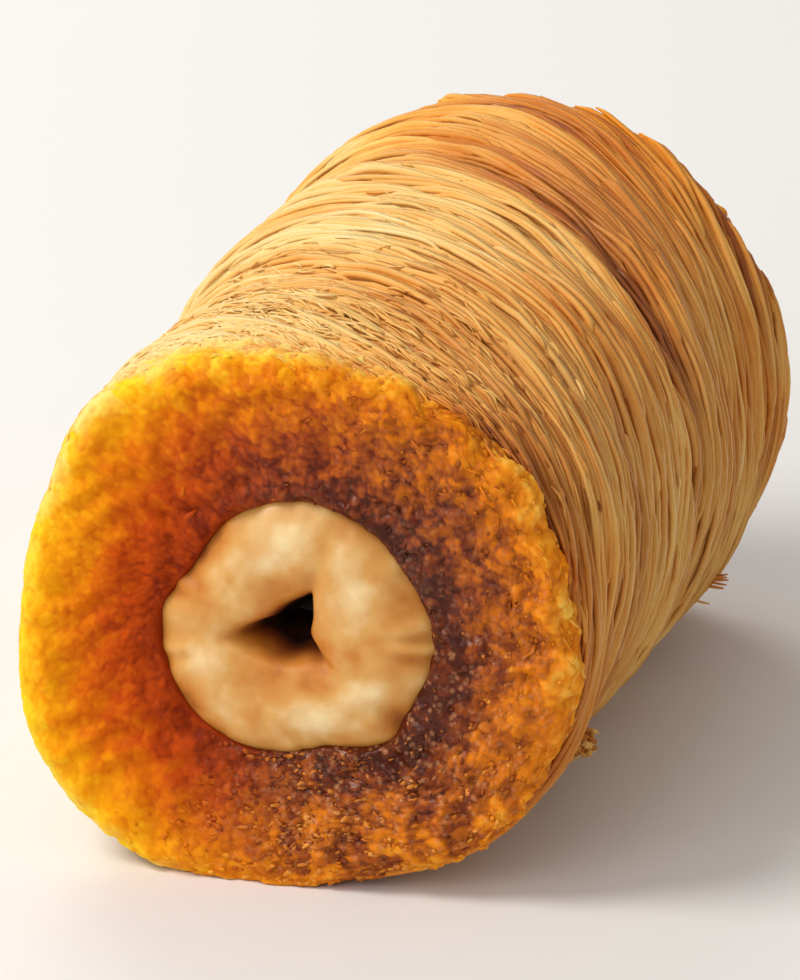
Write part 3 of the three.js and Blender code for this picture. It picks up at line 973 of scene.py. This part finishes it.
FLAT_WIDTH = 5  # from the rim to the hole

# Flakes that are placed one by one: two next to the nut at the upper left, and two long ones on the rim at
# the right. Direction, place across the end, length and thickness.
PLACED_FLAKES = [
    (2.31, 1.86, 1.0, 0.2), (2.24, 1.7, 0.6, 0.14), (0.05, 0.5, 2.0, 0.13), (-0.07, 0.42, 1.5, 0.12),
]

TUFT_THREADS = 7
TUFT_ANGLE = -0.59
TUFT_Y = 11.0
CLUMP_CRUMBS = 130
CLUMP_ANGLE = -0.71
CLUMP_Y = -8.0
CLUMP_REACH = 0.6


def make_grains(name, rng, angle, across, end, material, alignment, glint_share, length, thickness, paler=0.0):
    """Short cut threads and crumbs that lie over an end. alignment is how far they turn from the winding,
    and paler by how much less baked they are than what they lie on."""
    each = angle.shape
    lean = rng.normal(0, 1, each) * alignment
    run = np.array([[-0.5, 0.0, 0.5]]) * length
    bend = rng.uniform(-0.3, 0.3, each) * length * (1 - (2 * run / length) ** 2)
    middle = on_cut(angle, across, end, 0.0)
    radius = np.hypot(middle[..., 0], middle[..., 2] - AXIS_HEIGHT)
    angles = angle + (run * np.cos(lean) - bend * np.sin(lean)) / radius
    acrosses = across + (run * np.sin(lean) + bend * np.cos(lean)) / FLAT_WIDTH
    tilt = run * rng.normal(0, 0.35, each)
    stand = rng.uniform(-0.08, 0.04, each)
    thick = thickness * rng.uniform(0.6, 1.3, each) * np.array([[0.6, 1.0, 0.6]])
    thick = thick * rng.uniform(0.6, 1.4, thick.shape)
    lift = crumble(middle, angle, across, end) + stand + tilt
    points = rest_on_surface(on_cut(angles, acrosses, end, lift), TUBE_CORNERS * thick)
    turn = np.clip(across, 0, 1) * QUARTER
    outward = polar(angle, np.cos(turn), end * np.sin(turn)) - [0, 0, AXIS_HEIGHT]
    values = end_values(angle, across, end, middle)
    # Some grains are pale: painted glints of syrup. Grains sunk deeper are browner: painted shade.
    pale = (rng.uniform(0, 1, each) < glint_share) * (1 - values["glow"])
    values["bake"] = values["bake"] - 0.36 * pale * values["bake"] - 0.8 * stand - paler
    values["soak"] -= 0.2 * pale
    values["tone"] = 0.5 + rng.uniform(-0.4, 0.4, each) * lerp(1.0, 0.5, values["glow"])
    make_tubes(name, points, thick, outward, values, material)


def make_cut_threads(name, seed, end, count, material):
    """Cut thread ends and crumbs over a whole end, few where light comes through. They lie best along the
    winding at the bottom, where some glisten pale."""
    rng = np.random.default_rng(seed)
    each = (3 * count, 1)
    first = 0.0 if end < 0 else 0.7
    across = np.interp(rng.uniform(0, 1, each), [0, 0.35, 0.7, 0.93, 1], [first, 1, 1.5, 2, 2.6])
    angle = rng.uniform(0, TURN, each)
    wanted = (1 - painted_glow_share(angle)) * lerp(1.0, 0.35, smooth(-0.9, 0.2, np.sin(angle)))
    kept = np.flatnonzero(rng.uniform(0, 1, each) < wanted)[:count]
    across, angle = across[kept], angle[kept]
    low = 0.5 - 0.5 * np.sin(angle + 0.5)
    inner = np.clip(across - 0.8, 0, 1)
    thickness = lerp(0.09, 0.11, low) * lerp(1.1, 0.85, inner)
    length = thickness * rng.uniform(1.6, lerp(3.5, 4.8, low))
    alignment = lerp(0.8, 0.25, low)
    glint_share = low * lerp(0.2, 0.4, inner)
    make_grains(name, rng, angle, across, end, material, alignment, glint_share, length, thickness)


def make_flakes(name, seed, count, material):
    """The larger flakes of the shown end: the placed ones, and others in the clumps at the upper right."""
    rng = np.random.default_rng(seed)
    others = [
        rng.normal(0.6, 0.45, count), rng.uniform(0.3, 1.3, count),
        rng.uniform(0.5, 1.2, count), rng.uniform(0.05, 0.09, count),
    ]
    flakes = np.concatenate([np.transpose(PLACED_FLAKES), others], axis=1)
    angle, across, length, thickness = flakes[..., None]
    make_grains(name, rng, angle, across, -1, material, 0.4, 0.0, length, thickness, paler=0.12)


def make_strays(name, seed, material):
    """What sticks out at the lower right: a little tuft of thread ends, and a clump of crumbs."""
    rng = np.random.default_rng(seed)
    share = np.linspace(0, 1, 4)[None]
    each = (TUFT_THREADS, 1)
    angles = TUFT_ANGLE + rng.normal(0, 0.02, each) + 0.03 * share
    ys = TUFT_Y + rng.normal(0, 0.25, each) + share * rng.normal(0.2, 0.3, each)
    tuft = on_side(angles, ys, -0.2 + share * rng.uniform(0.5, 1.0, each))
    each = (CLUMP_CRUMBS, 1, 3)
    start = on_side(CLUMP_ANGLE, CLUMP_Y, 0.3) + np.clip(rng.normal(0, 0.38, each), -CLUMP_REACH, CLUMP_REACH)
    points = np.concatenate([tuft, start + share[..., None] * rng.normal(0, 0.16, each)])
    outward = rng.normal(0, 1, (len(points), 1, 3))
    size = np.concatenate([np.full(TUFT_THREADS, 0.07), rng.uniform(0.15, 0.26, CLUMP_CRUMBS)])[:, None]
    tone = rng.uniform(0, 1, (len(points), 1))
    values = {"bake": 0.15 + 0.35 * tone, "soak": 0.5 + 0 * tone, "glow": 0 * tone, "wet": 0.2 + 0 * tone}
    values["tone"] = tone
    make_tubes(name, points, size * np.array([[0.7, 1, 1, 0.6]]), outward, values, material)


# ---- The nut ----

NUT_POINTS_AROUND = 288
NUT_SIDE_ROWS = 14
NUT_SHOULDER_ROWS = 28
NUT_PIT_ROWS = 64
NUT_FULLNESS = 1.7  # depth of the visible shoulder, which is fuller than the plain form's

# The three edges of the pit's mouth: which way each faces, and how far it lies from the middle.
PIT_EDGES = [(2.27, 1.03), (0.2, 1.5), (4.5, 0.64)]
# Painted highlights and painted shade in spots over the nut: direction, distance from the middle, width, and
# how much paler or browner they are.
SPOTS = [
    (1.55, 5.0, 1.5, 0.24), (1.74, 3.2, 0.8, 0.2), (2.64, 4.6, 1.2, -0.05), (-3.06, 5.4, 1.1, 0.24),
    (-2.75, 4.7, 1.2, 0.2), (-2.2, 5.3, 1.0, 0.2), (-1.28, 5.0, 1.1, 0.22), (-0.83, 5.6, 1.1, 0.2),
    (-0.55, 4.8, 1.2, 0.24), (0.58, 4.2, 0.9, 0.2), (0.3, 5.4, 0.9, -0.08), (2.2, 2.3, 0.8, -0.12),
    (-1.9, 2.1, 0.9, -0.12), (1.05, 2.7, 0.6, -0.08), (-0.2, 2.4, 0.7, -0.06), (2.4, 6.0, 0.8, -0.12),
]
# The seams that run out of its corners: direction, depth and width.
SEAMS = [(3.25, 0.36, 0.28), (1.16, 0.3, 0.14), (5.7, 0.28, 0.16)]


def pit_mouth(facing):
    """Radius of the pit's three-cornered mouth. Its right edge bulges inward."""
    total = sum(np.maximum(np.cos(facing - middle) / gap, 0) ** 9 for middle, gap in PIT_EDGES)
    along_right = np.tan(np.clip(turned_from(facing, 0.32), -1.1, 1.1))
    return total ** (-1 / 9) - 0.36 * hump(along_right, 1.0)


def nut_end(end, angle):
    """Rings from the nut's side over its crest and down into the pit, with how pale the nut is drawn along
    them, in its own colour and in painted shade.
    """
    rows = []
    crest_y = HALF - NUT_SINK
    facing = angle if end < 0 else math.pi - angle
    # Soft folds run over the shoulder, most of them on the right and at the lower right.
    where = 0.5 * toward(facing, 3.0, 0.5) + toward(facing, -0.35, 0.7) + 0.12
    fold = where * (0.5 + 0.5 * np.sin(16 * facing + 2.5 * np.sin(4 * facing) + 1.5 * np.sin(9 * facing)))
    outer = nut_edge(angle, end) - 0.1 * fold
    crest = NUT_CREST * outer
    seam = humps(SEAMS, facing)
    mouth = pit_mouth(facing)
    crisp = toward(facing, 0.1, 0.8) + 0.5 * toward(facing, 2.33, 0.5)
    slope = lerp(1.1, 0.3, crisp) + 0.7 * toward(facing, 3.35, 0.5)
    by_mouth = 0.35 + toward(facing, 2.3, 0.7) + toward(facing, 4.5, 0.9)
    for i in range(NUT_SHOULDER_ROWS + 1):
        turn = QUARTER * i / NUT_SHOULDER_ROWS
        radius = lerp(crest, outer, math.cos(turn))
        on_shoulder = math.sin(2 * turn) ** 2
        depth = NUT_FULLNESS * (1 - math.sin(turn)) + 0.35 * seam * math.sin(turn) + 0.34 * fold * on_shoulder
        # Browner towards the rounded outer edge and in the folds: painted shade.
        flesh_and_shade = 0.3 + 0.3 * math.sin(turn) - 0.17 * fold * on_shoulder - 0.1 * seam
        rows.append((radius, depth, 0.0, flesh_and_shade))
    for i in range(1, NUT_PIT_ROWS + 1):
        share = i / NUT_PIT_ROWS
        radius = lerp(crest, mouth * PIT_TAPER, share**0.85)
        bowl = np.clip((crest - radius) / (crest - mouth), 0, 1)
        wall = smooth(mouth + slope, mouth * PIT_TAPER, radius)
        wall = wall ** lerp(1.6, 2.6, crisp)
        depth = seam * lerp(0.35, 1.0, bowl) * (1 - wall) + PIT_MOUTH * bowl ** (2 + 2 * crisp)
        depth += PIT_DEPTH * wall
        # Tan down the bowl and round the mouth, partly painted shade, and near black deep in the pit: painted
        # shade.
        near = 0.2 * hump(radius - mouth, 1.0) * by_mouth
        flesh_and_shade = 0.62 - 0.2 * bowl ** (1.3 + crisp) - 0.25 * seam * bowl - near
        flesh_and_shade -= 0.75 * wall ** lerp(1.7, 0.5, crisp)
        rows.append((radius, depth, bowl, np.maximum(flesh_and_shade, 0.0)))
    rings = []
    for radius, depth, shift, flesh_and_shade in rows:
        points = polar(angle, radius, end * (crest_y - depth))
        points[:, 0] += -end * PIT_OFFSET_X * shift
        points[:, 2] += PIT_OFFSET_Z * shift
        rings.append((points, flesh_and_shade))
    return rings


def make_nut(material):
    angle = np.arange(NUT_POINTS_AROUND) * TURN / NUT_POINTS_AROUND
    front = nut_end(-1, angle)[::-1]
    back = nut_end(1, angle)
    middle = []
    for i in range(1, NUT_SIDE_ROWS):
        y = lerp(front[-1][0][0, 1], back[0][0][0, 1], i / NUT_SIDE_ROWS)
        middle.append((polar(angle, nut_radius(angle, y), y), 0.5 + 0 * angle))
    rows = front + middle + back
    points = np.stack([row[0] for row in rows])
    flesh_and_shade = np.stack([row[1] for row in rows])
    bumps = rough(points, 2.2, 21)
    points[..., 1] -= 0.09 * bumps * np.sign(points[..., 1])
    facing_x = points[..., 0] * -np.sign(points[..., 1])
    spots = 0 * flesh_and_shade
    for direction, distance, width, amount in SPOTS:
        x = distance * math.cos(direction)
        z = distance * math.sin(direction) + AXIS_HEIGHT
        spots += amount * hump(np.hypot(facing_x - x, points[..., 2] - z), width)
    # Random mottling, and browner where the bumps dent the surface in: painted shade.
    noise = 0.2 * rough(points, 1.7, 71, 4) - 0.1 * bumps
    flesh_and_shade += (np.clip(spots, -0.15, 0.26) + noise) * smooth(0.1, 0.5, flesh_and_shade)
    count = len(rows) * NUT_POINTS_AROUND
    poles = np.stack([points[0].mean(0), points[-1].mean(0)])
    points = np.concatenate([points.reshape(-1, 3), poles])
    flesh_and_shade = np.concatenate([flesh_and_shade.ravel(), [0.0, 0.0]])
    i = np.arange(NUT_POINTS_AROUND)
    beside = (i + 1) % NUT_POINTS_AROUND
    last = count - NUT_POINTS_AROUND
    fans = [together(count, i, beside), together(count + 1, last + beside, last + i)]
    quads = grid_quads(len(rows), NUT_POINTS_AROUND, False)
    tris = np.concatenate(fans)
    make_piece("nut_flesh", points, quads, material, {"flesh_and_shade": flesh_and_shade}, "nut_filling", tris)


# ---- Floor, lights and camera ----

FLOOR_REACH = 2.0
# The lights: name, how far right of the roll, above it and towards the camera, size, power and tint.
LIGHTS = [
    ("key", -0.26, 0.30, 0.10, 0.2, 1.08, (1.0, 0.97, 0.92)),
    ("front", -0.2, 0.12, 0.4, 0.3, 0.52, (1.0, 0.98, 0.95)),
    ("rear", -0.1, 0.3, -0.3, 0.2, 0.35, (1.0, 0.97, 0.92)),
]
STUDIO_COLOUR = (1.0, 0.985, 0.96, 1.0)
STUDIO_STRENGTH = 0.42


def make_floor():
    mesh = bpy.data.meshes.new("floor")
    corners = [(x * FLOOR_REACH, y * FLOOR_REACH, 0) for x, y in ((-1, -1), (1, -1), (1, 1), (-1, 1))]
    mesh.from_pydata(corners, [], [(0, 1, 2, 3)])
    material, tree = new_material("pale floor")
    set_shader(tree, {"Base Color": (0.86, 0.855, 0.845, 1.0), "Roughness": 0.7})
    mesh.materials.append(material)
    floor = bpy.data.objects.new("floor", mesh)
    bpy.context.scene.collection.objects.link(floor)


def make_lights(target, right, back):
    for name, along_right, above, towards, size, power, tint in LIGHTS:
        data = bpy.data.lights.new(name, "AREA")
        data.shape = "DISK"
        data.size = size
        data.energy = power
        data.color = tint
        light = bpy.data.objects.new(name, data)
        away = right * along_right + Vector((0, 0, above)) + back * towards
        light.location = target + away
        light.rotation_euler = (-away).to_track_quat("-Z", "Y").to_euler()
        bpy.context.scene.collection.objects.link(light)
    world = bpy.data.worlds.new("studio")
    world.use_nodes = True
    backdrop = world.node_tree.nodes["Background"]
    backdrop.inputs["Color"].default_value = STUDIO_COLOUR
    backdrop.inputs["Strength"].default_value = STUDIO_STRENGTH
    bpy.context.scene.world = world


def make_camera():
    """The camera looks at the shown cut end from a little to its right and from above."""
    back = Vector((
        math.sin(VIEW_AZIMUTH) * math.cos(VIEW_ELEVATION),
        -math.cos(VIEW_AZIMUTH) * math.cos(VIEW_ELEVATION),
        math.sin(VIEW_ELEVATION),
    ))
    right = Vector((math.cos(VIEW_AZIMUTH), math.sin(VIEW_AZIMUTH), 0))
    up = back.cross(right)
    aim = Vector(SHOWN_END) + right * AIM_RIGHT + up * AIM_UP
    data = bpy.data.cameras.new("camera")
    data.lens = LENS
    data.sensor_width = 36
    data.clip_start = 0.01
    camera = bpy.data.objects.new("camera", data)
    camera.location = (aim + back * VIEW_DISTANCE) * MM
    camera.rotation_euler = (-back).to_track_quat("-Z", "Y").to_euler()
    bpy.context.scene.collection.objects.link(camera)
    bpy.context.scene.camera = camera
    return right, back


# ---- Putting it together ----

right, back = make_camera()
make_floor()
make_lights(Vector((0, 0, AXIS_HEIGHT * MM)), right, back)
bpy.context.scene.view_settings.view_transform = "Standard"

slice_finish = dough_material("soaked crumb", 0.25, wet_roughness=0.25, gloss=0.05, bump=0.9, depth=0.0005)
crumb_finish = dough_material("loose crumb", 0.2, wet_roughness=0.25, gloss=0.1, bump=0.3, depth=0.0)
thread_finish = dough_material("dough threads", 0.2, wet_roughness=0.3, gloss=0.2, bump=0.3, depth=0.0)
make_core(slice_finish)
make_slice("slice_shown_end", -1, 700, 1.0, slice_finish)
make_slice("slice_far_end", 1, 440, 0.7, slice_finish)
make_wound_layer("threads_under", 5, thread_finish, 0.46, 36, lift=-0.62, radius=0.22, layer_shade=0.13)
make_wound_layer("threads_over", 6, thread_finish, 0.31, 52, lift=-0.45, radius=THREAD_RADIUS)
make_loose_layer("threads_loose", 7, thread_finish, 680, lift=-0.31, layer_shade=-0.05)
make_felt("threads_matted", thread_finish)
make_fuzz("threads_short", 11, 3200, thread_finish)
make_cut_threads("crumb_shown_end", 8, -1, 4200, crumb_finish)
make_cut_threads("crumb_far_end", 9, 1, 1600, crumb_finish)
make_flakes("flakes", 14, 90, crumb_finish)
make_strays("stray_crumbs", 13, crumb_finish)
make_nut(nut_material())
